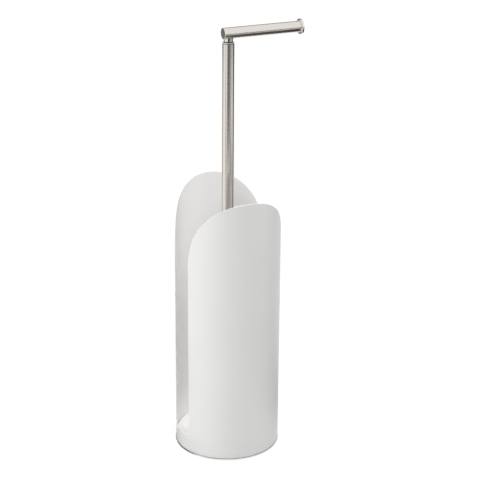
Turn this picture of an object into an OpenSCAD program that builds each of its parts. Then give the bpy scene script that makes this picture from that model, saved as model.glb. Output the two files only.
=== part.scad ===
// Free-standing toilet roll storage holder.
// A round shell with two raised sides keeps the spare rolls round a pole.
// An arm on top of the pole carries the roll in use.
// The origin is on the pole's axis, on the ground. The arm points along +X.

/* [Shell] */
// Outer diameter of the shell
shell_d = 150; // [130:1:190]
// Thickness of the shell's sheet
shell_wall = 1; // [0.8:0.1:2]
// Height of the two crests above the ground
crest_z = 391; // [330:1:450]
// Height where a slot's straight edges run into the crowns
shoulder_z = 290; // [150:1:320]
// Half of the angle that each raised side covers
side_angle = 70; // [60:1:78]
// Height of the band that closes the foot of the slots
slot_foot_z = 27; // [22:1:60]
// Radius of the lower corners of the slots
slot_corner_r = 5; // [2:0.5:12]
// Width of the flange turned in at the shell's foot
flange_w = 8; // [7.5:0.5:12]
// Inner radius of the bend between the shell's wall and its flange
bend_inner_r = 0.5; // [0.3:0.1:1]

/* [Base] */
// Thickness of the rubber pad under the base
pad_t = 1; // [0.6:0.1:2.5]
// Gap between the pad's edge and the screws' countersinks
pad_gap = 1.2; // [0.4:0.1:10]
// Thickness of the base plate
plate_t = 2; // [1.8:0.1:4]
// How far the plate's edge stands out past the shell
rim_proud = 0.7; // [0.3:0.1:3]
// Radius on the plate's polished edge
rim_round = 0.5; // [0.2:0.1:0.8]
// Height of the storage floor above the ground
floor_z = 15; // [14:0.5:20]
// Thickness of the storage floor
cover_t = 1.8; // [1.2:0.1:3]
// Thickness of the skirt under the storage floor
skirt_t = 2; // [1.2:0.1:3]
// Radius on the storage floor's edge
cover_round = 1; // [0.3:0.1:1.2]
// Gap between the storage floor and the shell
cover_gap = 0.3; // [0.1:0.1:1]
// Gap round the ballast disc
ballast_gap = 2; // [1:0.5:5]

/* [Base screws] */
// Number of screws that hold the shell to the plate
screw_count = 4; // [3:1:6]
// Thread diameter of the screws
screw_d = 3; // [2.5:0.5:3.5]
// Length of the screws
screw_len = 9; // [7:0.5:10]
// Distance of the screws in from the shell's inner face
screw_inset = 4.2; // [4:0.1:5]
// Wall round the screws in the bosses
boss_wall = 1.8; // [1.2:0.1:2.2]

/* [Pole] */
// Outer diameter of the pole
pole_d = 17; // [16.5:0.5:25]
// Wall of the pole's tube
pole_wall = 1.2; // [0.8:0.1:1.4]
// Height of the pole's top above the ground
pole_top_z = 599; // [480:1:700]
// Thickness of the flange on the pole's top plug
top_flange_t = 2; // [1:0.1:4]
// Chamfer on the flange of the top plug
top_chamfer = 0.4; // [0.2:0.1:0.8]
// Length of the threaded plug in the pole's foot
foot_plug_len = 25; // [22:1:40]
// Width of the collar round the pole on the storage floor
collar_w = 3.5; // [2.5:0.5:8]
// Height of that collar
collar_t = 1.2; // [0.8:0.1:3]
// Wall of the collar's sleeve inside the floor
collar_sleeve = 1.5; // [0.8:0.1:2]

/* [Pole bolt] */
// Thread diameter of the bolt that holds the pole
bolt_d = 6; // [5:0.5:8]
// Width across the flats of the bolt's head
bolt_flats = 10; // [9.5:0.5:13]
// Height of the bolt's head
bolt_head_h = 4; // [3:0.1:5]
// How far the bolt reaches into the pole's foot
bolt_reach = 18; // [12:1:20]
// Radial width of the flat washer
washer_w = 3; // [2:0.1:4]
// Thickness of the flat washer
washer_t = 1.6; // [1:0.1:2]
// Radial width of the spring washer
spring_w = 2.4; // [1.6:0.1:3]
// Thickness of the spring washer
spring_t = 1.6; // [1:0.1:2]

/* [Swivel] */
// Diameter of the arm's pivot pin
pin_d = 9.9; // [8:0.1:10]
// Length of the swivel bush
bush_len = 30; // [20:1:40]
// Wall of the swivel bush
bush_wall = 1; // [0.8:0.1:1.3]
// Diameter of the bush's flange
bush_flange_d = 13.5; // [13:0.5:16]
// Thickness of the bush's flange
bush_flange_t = 0.8; // [0.5:0.1:2]
// Thickness of the snap ring under the bush
clip_t = 1; // [0.8:0.1:1.5]
// Depth of the snap ring's groove
groove_depth = 0.6; // [0.4:0.1:0.8]
// Angle of the snap ring's opening
clip_open = 60; // [40:5:100]
// Length of the pin below the snap ring
pin_tail = 3; // [2:0.5:6]

/* [Arm] */
// Outer diameter of the arm
arm_d = 16; // [15:0.5:20]
// Wall of the arm's tube
arm_wall = 1; // [0.8:0.1:1.4]
// Distance from the pole's axis to the outer face of the end stop
arm_reach = 108; // [96:1:160]
// Distance from the pole's axis to the arm's near end
arm_back = 8; // [7.5:0.5:20]
// Height of the neck between the pole's top and the arm
neck_h = 4; // [3:0.5:12]
// Diameter of the neck
neck_d = 12.5; // [11.5:0.5:13]
// Diameter of the end stop
stop_d = 22; // [21:0.5:40]
// Thickness of the end stop
stop_t = 3; // [2:0.5:8]
// Radius on the edges of the end stop
stop_round = 0.6; // [0.2:0.1:0.9]
// Length of the end stop's plug inside the tube
stop_plug_len = 12; // [8:1:25]
// Thickness of the cap on the arm's near end
cap_t = 1.2; // [0.8:0.1:2]
// Chamfer on the cap's edge
cap_chamfer = 0.4; // [0.2:0.1:0.6]
// Length of the hub inside the arm beyond the pole's axis
hub_len = 14; // [8:1:30]
// Thread diameter of the stud on the neck
stud_d = 6; // [4:0.5:7]
// How far the stud reaches past the arm's axis
stud_reach = 3; // [1:0.5:4]

/* [Fits] */
// Radial clearance of the turning fits
run_gap = 0.05; // [0.02:0.01:0.09]
// Radial clearance of parts that are pressed or screwed together
seat_gap = 0.05; // [0.02:0.01:0.1]
// Radial room round screws and bolts in plain holes
hole_room = 0.3; // [0.2:0.1:0.6]

/* [Hidden] */
$fn = 96;

// Radii and heights that follow from the sizes above
shell_r = shell_d / 2;
shell_inner_r = shell_r - shell_wall;
flange_inner_r = shell_inner_r - flange_w;
plate_z = pad_t;
plate_top_z = plate_z + plate_t;
plate_r = shell_r + rim_proud;
flange_top_z = plate_top_z + shell_wall;
cover_r = shell_inner_r - cover_gap;
ballast_top_z = floor_z - cover_t;
bend_r = bend_inner_r + shell_wall;
screw_r = shell_inner_r - screw_inset;
screw_head_h = screw_d / 2;
sink_d = 2 * (screw_d + hole_room);
pad_r = screw_r - sink_d / 2 - pad_gap;
screw_room = 0.5;
boss_clear = 0.2;
boss_d = screw_d + 2 * boss_wall;
ballast_r = min(flange_inner_r, screw_r - boss_d / 2) - ballast_gap;

// The bolt's stack, from the head up to the seat under the ballast's web
head_inset = 0.5;
head_z = plate_z + head_inset;
spring_z = head_z + bolt_head_h;
washer_z = spring_z + spring_t;
washer_top_z = washer_z + washer_t;
washer_d = bolt_d + 2 * washer_w;
spring_d = bolt_d + 2 * spring_w;
head_corner_d = bolt_flats / cos(30);
access_room = 2;
access_d = max(washer_d, head_corner_d) + 2 * access_room;

// The pole and what is pressed into its ends
pole_bore = pole_d - 2 * pole_wall;
plug_d = pole_bore - 2 * seat_gap;
pole_end_z = pole_top_z - top_flange_t;
bush_bore = pin_d + 2 * run_gap;
bush_d = bush_bore + 2 * bush_wall;
top_plug_bore = bush_d + 2 * run_gap;
bush_foot_z = pole_top_z - bush_len;
top_plug_foot_z = bush_foot_z - 6;
collar_bore = pole_d + 2 * seat_gap;
collar_sleeve_d = collar_bore + 2 * collar_sleeve;
collar_d = collar_bore + 2 * collar_w;

// The arm and its pivot, with a thin film of air under each thrust face
bush_flange_z = pole_top_z + run_gap;
neck_z = bush_flange_z + bush_flange_t + run_gap;
arm_z = pole_top_z + neck_h + arm_d / 2;
arm_bore = arm_d - 2 * arm_wall;
hub_d = arm_bore - 2 * seat_gap;
tube_x0 = cap_t - arm_back;
tube_x1 = arm_reach - stop_t;
clip_z = bush_foot_z - run_gap - clip_t;
groove_d = pin_d - 2 * groove_depth;
clip_inner_d = groove_d + 2 * seat_gap;
clip_d = bush_d - 0.4;
pin_foot_z = clip_z - pin_tail;

// How far cuts run past what they cut
over = 5;
corner_steps = 6;
crown_steps = 24;
bridge_steps = 4;

// The crowns run on into the slots by this angle, so that the two cuts cross
crown_angle = side_angle + 0.2;

// Points of a quarter round on an outline's upper outer corner
function round_corner(x, y, r) =
  [for (i = [0 : corner_steps]) let (a = 90 * i / corner_steps) [x - r + r * cos(a), y - r + r * sin(a)]];

// A ring round Z between two heights, or a disc where the bore is zero
module ring(outer_d, bore_d, z0, z1) {
  rotate_extrude()
    translate([bore_d / 2, z0])
      square([(outer_d - bore_d) / 2, z1 - z0]);
}

// A straight bore along Z
module bore(d, z0, z1) {
  translate([0, 0, z0])
    cylinder(d = d, h = z1 - z0);
}

// A straight cylinder along X
module bar_x(d, x0, x1) {
  translate([x0, 0, 0])
    rotate([0, 90, 0])
      cylinder(d = d, h = x1 - x0);
}

// Copies round Z at the screws' places, half a step away from the slots
module at_screws() {
  for (i = [0 : screw_count - 1])
    rotate([0, 0, (i + 0.5) * 360 / screw_count])
      translate([screw_r, 0, 0])
        children();
}

// Upper edge of the shell as [angle round Z, height]: two elliptical crowns,
// joined at shoulder height across the slots
crown_edge = [for (side = [0, 1]) each concat(
  [for (i = [-crown_steps : crown_steps])
    let (t = 90 * i / crown_steps)
    [180 * side - 90 + crown_angle * sin(t), shoulder_z + (crest_z - shoulder_z) * cos(t)]],
  [for (i = [1 : bridge_steps - 1])
    [180 * side - 90 + crown_angle + i * (180 - 2 * crown_angle) / bridge_steps, shoulder_z]])];

// Everything above that edge, with faces that point at the axis as in rolled sheet
module above_crowns() {
  inner = shell_inner_r - over;
  outer = shell_r + over;
  top = crest_z + over;
  count = len(crown_edge);
  corners = [for (p = crown_edge) each [
    [inner * cos(p[0]), inner * sin(p[0]), p[1]],
    [outer * cos(p[0]), outer * sin(p[0]), p[1]],
    [outer * cos(p[0]), outer * sin(p[0]), top],
    [inner * cos(p[0]), inner * sin(p[0]), top]]];
  faces = [for (i = [0 : count - 1], side = [0 : 3])
    let (a = 4 * i, b = 4 * ((i + 1) % count), next = (side + 1) % 4)
    each [[a + side, b + next, b + side], [a + side, a + next, b + next]]];
  polyhedron(points = corners, faces = faces, convexity = 6);
}

// One straight cut through both slots, with round lower corners
module slot_cut() {
  half = shell_r * cos(side_angle);
  flat = half - slot_corner_r;
  rotate([90, 0, 90])
    linear_extrude(height = shell_d + 2 * over, center = true)
      union() {
        translate([-half, slot_foot_z + slot_corner_r])
          square([2 * half, crest_z - slot_foot_z]);
        translate([-flat, slot_foot_z])
          square([2 * flat, crest_z - slot_foot_z]);
        for (side = [-1, 1])
          translate([side * flat, slot_foot_z + slot_corner_r])
            circle(r = slot_corner_r);
      }
}

// Rubber pad that keeps the base from sliding, inside the circle of the screws
module foot_pad() {
  color([0.16, 0.16, 0.17])
    ring(2 * pad_r, 0, 0, pad_t);
}

// Steel plate whose polished edge shows as a thin rim under the shell
module base_plate() {
  color([0.72, 0.72, 0.74])
    difference() {
      rotate_extrude()
        union() {
          translate([0, plate_z])
            square([plate_r - rim_round, plate_t]);
          translate([0, plate_z + rim_round])
            square([plate_r, plate_t - 2 * rim_round]);
          for (z = [plate_z + rim_round, plate_top_z - rim_round])
            translate([plate_r - rim_round, z])
              circle(r = rim_round, $fn = 24);
        }
      bore(access_d, plate_z - over, plate_top_z + over);
      at_screws() {
        bore(screw_d + 2 * hole_room, plate_z - over, plate_top_z + over);
        translate([0, 0, plate_z - seat_gap])
          cylinder(d1 = sink_d, d2 = screw_d, h = screw_head_h + hole_room);
      }
    }
}

// Rolled sheet with two raised sides, two finger slots and a flange at its foot
module shell() {
  color([0.93, 0.92, 0.91])
    difference() {
      rotate_extrude()
        union() {
          translate([shell_inner_r, plate_top_z + bend_r])
            square([shell_wall, crest_z - plate_top_z - bend_r + 1]);
          translate([flange_inner_r, plate_top_z])
            square([shell_r - bend_r - flange_inner_r, shell_wall]);
          intersection() {
            translate([shell_r - bend_r, plate_top_z])
              square(bend_r);
            translate([shell_r - bend_r, plate_top_z + bend_r])
              difference() {
                circle(r = bend_r);
                circle(r = bend_inner_r);
              }
          }
        }
      above_crowns();
      slot_cut();
      at_screws()
        bore(screw_d + 2 * hole_room, plate_top_z - over, flange_top_z + 1);
    }
}

// Cast weight with a recess for the bolt's head and washers
module ballast_disc() {
  color([0.25, 0.25, 0.26])
    difference() {
      ring(2 * ballast_r, 0, plate_top_z, ballast_top_z);
      bore(access_d, plate_top_z - over, washer_top_z);
      bore(bolt_d + 2 * hole_room, washer_top_z - 1, ballast_top_z + over);
    }
}

// Moulded tray turned upside down: the floor that the spare rolls stand on
module floor_cover() {
  color([0.94, 0.94, 0.93])
    difference() {
      union() {
        rotate_extrude()
          polygon([
            [0, ballast_top_z],
            [cover_r - skirt_t, ballast_top_z],
            [cover_r - skirt_t, flange_top_z],
            [cover_r - bend_inner_r, flange_top_z],
            [cover_r, flange_top_z + bend_inner_r],
            each round_corner(cover_r, floor_z, cover_round),
            [0, floor_z]]);
        at_screws()
          bore(boss_d, flange_top_z + boss_clear, floor_z - cover_t / 2);
      }
      bore(collar_sleeve_d + 2 * seat_gap, ballast_top_z - over, floor_z + over);
      at_screws()
        bore(screw_d + 2 * seat_gap, flange_top_z - over, plate_z + screw_len + screw_room);
    }
}

// Countersunk screws that clamp the shell's flange between plate and tray
module shell_screws() {
  color([0.7, 0.7, 0.72])
    at_screws()
      translate([0, 0, plate_z])
        difference() {
          union() {
            cylinder(d = screw_d, h = screw_len);
            cylinder(d1 = 2 * screw_d, d2 = screw_d, h = screw_head_h);
          }
          for (turn = [0, 90])
            rotate([0, 0, turn])
              translate([-screw_d / 2, -0.3, -1])
                cube([screw_d, 0.6, 1.8]);
        }
}

// Hexagon bolt that stands up through the ballast into the pole
module pole_bolt() {
  color([0.7, 0.7, 0.72])
    union() {
      intersection() {
        translate([0, 0, head_z])
          cylinder(d = head_corner_d, h = bolt_head_h, $fn = 6);
        translate([0, 0, head_z])
          cylinder(d1 = bolt_flats - 0.6, d2 = bolt_flats - 0.6 + 4 * bolt_head_h, h = bolt_head_h);
      }
      bore(bolt_d, spring_z - 1, ballast_top_z + bolt_reach);
    }
}

// Split spring washer on the bolt
module spring_washer() {
  color([0.62, 0.62, 0.64])
    difference() {
      ring(spring_d, bolt_d + 2 * seat_gap, spring_z, washer_z);
      translate([0, -0.6, spring_z - 1])
        cube([spring_d, 1.2, spring_t + 2]);
    }
}

// Flat washer that bears on the ballast
module flat_washer() {
  color([0.72, 0.72, 0.74])
    ring(washer_d, bolt_d + 2 * seat_gap, washer_z, washer_top_z);
}

// Turned plug with a thread, pressed into the pole's foot
module pole_foot_plug() {
  color([0.68, 0.68, 0.7])
    difference() {
      ring(plug_d, 0, ballast_top_z, ballast_top_z + foot_plug_len);
      bore(bolt_d + 2 * seat_gap, ballast_top_z - over, ballast_top_z + bolt_reach + 1);
    }
}

// Brushed tube that the spare rolls are threaded on
module pole_tube() {
  color([0.66, 0.64, 0.62])
    ring(pole_d, pole_bore, ballast_top_z, pole_end_z);
}

// Moulded collar that centres the pole in the storage floor
module pole_collar() {
  color([0.9, 0.9, 0.89])
    rotate_extrude()
      union() {
        translate([collar_bore / 2, ballast_top_z])
          square([collar_sleeve, floor_z + collar_t - ballast_top_z]);
        translate([collar_bore / 2, floor_z])
          square([collar_w - collar_t, collar_t]);
        intersection() {
          translate([collar_bore / 2, floor_z])
            square([collar_w, collar_t]);
          translate([collar_d / 2 - collar_t, floor_z])
            circle(r = collar_t, $fn = 32);
        }
      }
}

// Polished plug on the pole's top, bored for the swivel bush
module pole_top_plug() {
  color([0.8, 0.8, 0.82])
    rotate_extrude()
      union() {
        translate([top_plug_bore / 2, top_plug_foot_z])
          square([(plug_d - top_plug_bore) / 2, pole_end_z - top_plug_foot_z + top_chamfer]);
        polygon([
          [top_plug_bore / 2, pole_end_z],
          [pole_d / 2, pole_end_z],
          [pole_d / 2, pole_top_z - top_chamfer],
          [pole_d / 2 - top_chamfer, pole_top_z],
          [top_plug_bore / 2, pole_top_z]]);
      }
}

// Flanged plastic bush that the arm turns in
module swivel_bush() {
  color([0.12, 0.12, 0.13])
    union() {
      ring(bush_d, bush_bore, bush_foot_z, bush_flange_z + bush_flange_t);
      ring(bush_flange_d, bush_bore, bush_flange_z, bush_flange_z + bush_flange_t);
    }
}

// Turned pivot: pin with a groove, neck with a saddle for the arm, and a stud
module arm_neck() {
  color([0.8, 0.8, 0.82])
    union() {
      difference() {
        bore(pin_d, pin_foot_z, neck_z + 1);
        ring(pin_d + 2, groove_d, clip_z - run_gap, bush_foot_z);
      }
      difference() {
        bore(neck_d, neck_z, arm_z);
        translate([0, 0, arm_z])
          bar_x(arm_d + 2 * seat_gap, -neck_d, neck_d);
      }
      bore(stud_d, neck_z, arm_z + stud_reach);
    }
}

// Snap ring that keeps the bush on the pin when the arm is lifted off
module snap_ring() {
  color([0.35, 0.35, 0.37])
    difference() {
      ring(clip_d, clip_inner_d, clip_z, clip_z + clip_t);
      translate([0, 0, clip_z - 1])
        linear_extrude(height = clip_t + 2)
          polygon([
            [0, 0],
            [clip_d, -clip_d * tan(clip_open / 2)],
            [clip_d, clip_d * tan(clip_open / 2)]]);
    }
}

// Turned hub in the arm's near end: it takes the stud and closes the tube
module arm_hub() {
  color([0.45, 0.45, 0.47])
    translate([0, 0, arm_z])
      difference() {
        union() {
          bar_x(hub_d, -arm_back + cap_t / 2, hub_len);
          translate([-arm_back, 0, 0])
            rotate([90, 0, 90])
              rotate_extrude()
                polygon([
                  [0, 0],
                  [arm_d / 2 - cap_chamfer, 0],
                  [arm_d / 2, cap_chamfer],
                  [arm_d / 2, cap_t],
                  [0, cap_t]]);
        }
        bore(stud_d + 2 * seat_gap, -arm_d, stud_reach + 1);
      }
}

// Brushed tube that carries the roll in use
module arm_tube() {
  color([0.78, 0.75, 0.72])
    translate([0, 0, arm_z])
      difference() {
        bar_x(arm_d, tube_x0, tube_x1);
        bar_x(arm_bore, tube_x0 - over, tube_x1 + over);
        bore(stud_d + 2 * hole_room, -arm_d, 0);
      }
}

// Turned disc that stops the roll from sliding off, with its plug in the tube
module arm_end_stop() {
  color([0.82, 0.81, 0.8])
    translate([tube_x1, 0, arm_z])
      rotate([90, 0, 90])
        rotate_extrude()
          union() {
            translate([0, -stop_plug_len])
              square([hub_d / 2, stop_plug_len + stop_round]);
            square([stop_d / 2 - stop_round, stop_t]);
            translate([0, stop_round])
              square([stop_d / 2, stop_t - 2 * stop_round]);
            for (z = [stop_round, stop_t - stop_round])
              translate([stop_d / 2 - stop_round, z])
                circle(r = stop_round, $fn = 24);
          }
}

foot_pad();
base_plate();
shell();
ballast_disc();
floor_cover();
shell_screws();
pole_bolt();
spring_washer();
flat_washer();
pole_foot_plug();
pole_tube();
pole_collar();
pole_top_plug();
swivel_bush();
arm_neck();
snap_ring();
arm_hub();
arm_tube();
arm_end_stop();
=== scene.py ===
"""Dresses a free-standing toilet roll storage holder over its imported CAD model.

Each sub-assembly is a class: its sizes are the fields, and its methods build the
meshes and give them their finish. Sizes are in metres, in the frame of the model.
The origin is on the pole's axis on the ground, +Z points up and the arm along +X.
"""

import logging
import math
from collections.abc import Callable, Sequence
from dataclasses import dataclass
from enum import Enum
from typing import Any

import bmesh
import bpy
from mathutils import Matrix, Vector


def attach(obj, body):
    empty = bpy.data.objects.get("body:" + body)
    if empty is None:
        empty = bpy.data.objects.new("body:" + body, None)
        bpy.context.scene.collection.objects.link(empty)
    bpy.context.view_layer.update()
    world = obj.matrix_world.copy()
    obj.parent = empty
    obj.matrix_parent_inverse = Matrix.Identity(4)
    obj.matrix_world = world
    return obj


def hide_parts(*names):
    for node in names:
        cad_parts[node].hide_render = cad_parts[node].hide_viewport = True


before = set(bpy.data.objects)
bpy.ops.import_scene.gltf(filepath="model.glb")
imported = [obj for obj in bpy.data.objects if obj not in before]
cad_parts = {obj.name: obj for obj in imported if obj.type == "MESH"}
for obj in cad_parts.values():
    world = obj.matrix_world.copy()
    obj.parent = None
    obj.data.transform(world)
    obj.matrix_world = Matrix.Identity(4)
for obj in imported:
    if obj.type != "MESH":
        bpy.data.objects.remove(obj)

LOG = logging.getLogger("holder")
MM = 0.001
MICRON = 0.000001
NEARLY = 1e-9

HAIR_EDGE = 0.08 * MM
CRISP_EDGE = 0.12 * MM
FINE_EDGE = 0.15 * MM
SOFT_EDGE = 0.2 * MM
ROUND_EDGE = 0.25 * MM
LEAD_EDGE = 0.3 * MM
WIDE_EDGE = 0.5 * MM

FINE_STEPS = 192
STUD_STEPS = 64
SCREW_STEPS = 48
HOLE_STEPS = 32

SCREW_CIRCLE = 69.8 * MM
SCREW_COUNT = 4
ARM_HEIGHT = 611 * MM

Colour = tuple[float, float, float]
Point = tuple[float, float, float]
Spot = tuple[float, float]
Span = tuple[float, float]


class Axis(Enum):
    """The axis that a piece is turned round."""

    X = "X"
    Z = "Z"


class Body(Enum):
    """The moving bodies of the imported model."""

    STAND = "stand"
    BUSH = "bush"
    ARM = "arm"


class Slot(Enum):
    """The record's material slots."""

    PAD = "pad"
    RIM_STEEL = "rim_steel"
    SHELL_PAINT = "shell_paint"
    BALLAST = "ballast"
    FLOOR_PLASTIC = "floor_plastic"
    FASTENER = "fastener"
    BRUSHED_TUBE = "brushed_tube"
    POLISHED_STEEL = "polished_steel"
    BUSH_PLASTIC = "bush_plastic"


class Cut(Enum):
    """How a second mesh changes a first one."""

    REMOVE = "DIFFERENCE"
    ADD = "UNION"


class Graph:
    """Adds and joins the nodes of one shader or geometry tree."""

    def __init__(self, tree: bpy.types.NodeTree) -> None:
        """Keeps the tree that is filled."""
        self.tree = tree

    def node(
        self, kind: str, inputs: dict[str | int, Any] | None = None, **settings: Any
    ) -> bpy.types.Node:
        """Adds a node.

        Args:
            kind: The node's type.
            inputs: Values, sockets or wires by the input's name or number.
            settings: Properties of the node.

        Returns:
            The new node.
        """
        made = self.tree.nodes.new(kind)
        for name, value in settings.items():
            setattr(made, name, value)
        for key, value in (inputs or {}).items():
            self.feed(made.inputs[key], value)
        return made

    def feed(self, socket: bpy.types.NodeSocket, value: Any) -> None:
        """Sets a socket's value, or links what is given to it.

        Args:
            socket: The input to feed.
            value: A wire, another socket, or a plain value.
        """
        if isinstance(value, Wire):
            value = value.socket
        if isinstance(value, bpy.types.NodeSocket):
            self.tree.links.new(value, socket)
        else:
            socket.default_value = value

    def math(self, operation: str, *values: Any, clamp: bool = False) -> "Wire":
        """Adds a Math node.

        Args:
            operation: The node's operation.
            values: Its one, two or three numbers.
            clamp: Keeps the result between 0 and 1.

        Returns:
            The result's wire.
        """
        made = self.node("ShaderNodeMath", dict(enumerate(values)), operation=operation, use_clamp=clamp)
        return Wire(self, made.outputs[0])


@dataclass(frozen=True)
class Wire:
    """A number that flows through a tree, with the usual signs for sums."""

    graph: Graph
    socket: bpy.types.NodeSocket

    def __add__(self, other: Any) -> "Wire":
        """Adds."""
        return self.graph.math("ADD", self, other)

    def __sub__(self, other: Any) -> "Wire":
        """Subtracts."""
        return self.graph.math("SUBTRACT", self, other)

    def __rsub__(self, other: Any) -> "Wire":
        """Subtracts from a plain number."""
        return self.graph.math("SUBTRACT", other, self)

    def __mul__(self, other: Any) -> "Wire":
        """Multiplies."""
        return self.graph.math("MULTIPLY", self, other)

    def __truediv__(self, other: Any) -> "Wire":
        """Divides."""
        return self.graph.math("DIVIDE", self, other)

    def __abs__(self) -> "Wire":
        """Takes the sign away."""
        return self.graph.math("ABSOLUTE", self)

    def sign(self) -> "Wire":
        """Gives -1, 0 or 1."""
        return self.graph.math("SIGN", self)

    def sin(self) -> "Wire":
        """Gives the sine of an angle in radians."""
        return self.graph.math("SINE", self)

    def cos(self) -> "Wire":
        """Gives the cosine of an angle in radians."""
        return self.graph.math("COSINE", self)

    def acos(self) -> "Wire":
        """Gives the angle in radians of a cosine."""
        return self.graph.math("ARCCOSINE", self)

    def over(self, limit: float) -> "Wire":
        """Gives 1 where the number is above a limit."""
        return self.graph.math("GREATER_THAN", self, limit)

    def ramp(self, start: float, end: float) -> "Wire":
        """Runs from 0 at start to 1 at end, and stays level outside."""
        return self.graph.math("DIVIDE", self - start, end - start, clamp=True)


def emptied(owner: bpy.types.Material | bpy.types.World) -> Graph:
    """Empties a shader tree.

    Args:
        owner: The material or world that the tree belongs to.

    Returns:
        The tree, to be filled.
    """
    owner.use_nodes = True
    owner.node_tree.nodes.clear()
    return Graph(owner.node_tree)


class Recipe:
    """A geometry tree with named inputs, baked into plain mesh once it is filled."""

    def __init__(self, name: str) -> None:
        """Makes an empty tree with a geometry output.

        Args:
            name: The tree's name.
        """
        self.tree = bpy.data.node_groups.new(name, "GeometryNodeTree")
        self.graph = Graph(self.tree)
        self.values: dict[str, Any] = {}
        self.tree.interface.new_socket("Geometry", in_out="OUTPUT", socket_type="NodeSocketGeometry")
        self.source = self.graph.node("NodeGroupInput")

    def number(self, name: str, value: float) -> Wire:
        """Adds a named size.

        Args:
            name: The input's name.
            value: Its value in metres or radians.

        Returns:
            The input's wire.
        """
        return self._input(name, value, "NodeSocketFloat")

    def count(self, name: str, value: int) -> Wire:
        """Adds a named whole number.

        Args:
            name: The input's name.
            value: Its value.

        Returns:
            The input's wire.
        """
        return self._input(name, value, "NodeSocketInt")

    def _input(self, name: str, value: Any, kind: str) -> Wire:
        """Adds an input of one kind.

        Args:
            name: The input's name.
            value: What the modifier sets it to.
            kind: The socket's type.

        Returns:
            The input's wire.
        """
        socket = self.tree.interface.new_socket(name, in_out="INPUT", socket_type=kind)
        self.values[socket.identifier] = value
        return Wire(self.graph, self.source.outputs[name])

    def serve(
        self, name: str, geometry: bpy.types.NodeSocket, material: bpy.types.Material
    ) -> bpy.types.Object:
        """Ends the tree, runs it and keeps the result as a plain mesh.

        Args:
            name: The new object's name.
            geometry: What the tree has made.
            material: The finish of every face.

        Returns:
            The object, with no modifier on it.
        """
        finish = self._input("Finish", material, "NodeSocketMaterial")
        real = self.graph.node("GeometryNodeRealizeInstances", {0: geometry})
        inputs = {"Geometry": real.outputs[0], "Material": finish}
        dressed = self.graph.node("GeometryNodeSetMaterial", inputs)
        self.graph.node("NodeGroupOutput", {"Geometry": dressed.outputs[0]})
        made = linked(bpy.data.objects.new(name, bpy.data.meshes.new(name)))
        modifier = made.modifiers.new("recipe", "NODES")
        modifier.node_group = self.tree
        for identifier, value in self.values.items():
            modifier[identifier] = value
        return baked(made)


def linked(made: bpy.types.Object) -> bpy.types.Object:
    """Puts an object into the scene."""
    bpy.context.scene.collection.objects.link(made)
    return made


def baked(made: bpy.types.Object) -> bpy.types.Object:
    """Turns an object's modifiers into plain mesh.

    Args:
        made: The object, which keeps its name and its materials.

    Returns:
        The same object.
    """
    view = bpy.context.evaluated_depsgraph_get()
    view.update()
    result = bpy.data.meshes.new_from_object(
        made.evaluated_get(view), preserve_all_data_layers=True, depsgraph=view
    )
    made.modifiers.clear()
    before, made.data = made.data, result
    bpy.data.meshes.remove(before)
    result.name = made.name
    return made


@dataclass(frozen=True)
class Corner:
    """A corner of a turned outline, and the radius that softens it."""

    radius: float
    height: float
    soft: float = 0.0

    def at(self) -> Vector:
        """Gives the corner as a point."""
        return Vector((self.radius, self.height))


@dataclass(frozen=True)
class Turned:
    """A closed outline turned round an axis into a solid."""

    corners: Sequence[Corner]
    axis: Axis = Axis.Z
    centre: Point = (0.0, 0.0, 0.0)
    steps: int = 128
    soft_steps: int = 5
    first: float = 0.0
    sweep: float = math.tau

    def outline(self) -> list[Vector]:
        """Gives the outline's points, with an arc at each softened corner.

        Returns:
            The points, each with its distance from the axis and its height.
        """
        points = []
        for index, corner in enumerate(self.corners):
            here = corner.at()
            if not corner.soft:
                points.append(here)
                continue
            back = (self.corners[index - 1].at() - here).normalized()
            onward = (self.corners[(index + 1) % len(self.corners)].at() - here).normalized()
            half = back.angle(onward) / 2
            middle = here + (back + onward).normalized() * corner.soft / math.sin(half)
            start = here + back * corner.soft / math.tan(half) - middle
            end = here + onward * corner.soft / math.tan(half) - middle
            begin = math.atan2(start.y, start.x)
            turn = (math.atan2(end.y, end.x) - begin + math.pi) % math.tau - math.pi
            for step in range(self.soft_steps + 1):
                angle = begin + turn * step / self.soft_steps
                points.append(middle + corner.soft * Vector((math.cos(angle), math.sin(angle))))
        return points

    def place(self, point: Vector, angle: float) -> Vector:
        """Gives an outline point's place at an angle round the axis.

        Args:
            point: The outline point.
            angle: The angle in radians.

        Returns:
            Its place in the frame.
        """
        across, up = point.x * math.cos(angle), point.x * math.sin(angle)
        turned = (point.y, across, up) if self.axis is Axis.X else (across, up, point.y)
        return Vector(turned) + Vector(self.centre)

    def mesh(self) -> bmesh.types.BMesh:
        """Builds the solid's faces.

        Returns:
            A closed mesh whose faces point outwards.
        """
        made = bmesh.new()
        whole = abs(self.sweep - math.tau) < NEARLY
        count = self.steps if whole else self.steps + 1
        rings = []
        for point in self.outline():
            if point.x < NEARLY:
                rings.append([made.verts.new(self.place(point, 0.0))] * count)
            else:
                angles = [self.first + self.sweep * step / self.steps for step in range(count)]
                rings.append([made.verts.new(self.place(point, angle)) for angle in angles])
        for index, ring in enumerate(rings):
            after = rings[(index + 1) % len(rings)]
            for step in range(self.steps):
                on = (step + 1) % count
                loop = [ring[step], ring[on], after[on], after[step]]
                face = list(dict.fromkeys(loop))
                if len(face) > 2:
                    made.faces.new(face)
        if not whole:
            for end in (0, -1):
                made.faces.new([ring[end] for ring in rings])
        bmesh.ops.recalc_face_normals(made, faces=made.faces)
        return made

    def raw(self, name: str) -> bpy.types.Object:
        """Gives the solid as an object without a finish.

        Args:
            name: The new object's name.

        Returns:
            The object, in the scene.
        """
        mesh = bpy.data.meshes.new(name)
        solid = self.mesh()
        solid.to_mesh(mesh)
        solid.free()
        return linked(bpy.data.objects.new(name, mesh))


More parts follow.
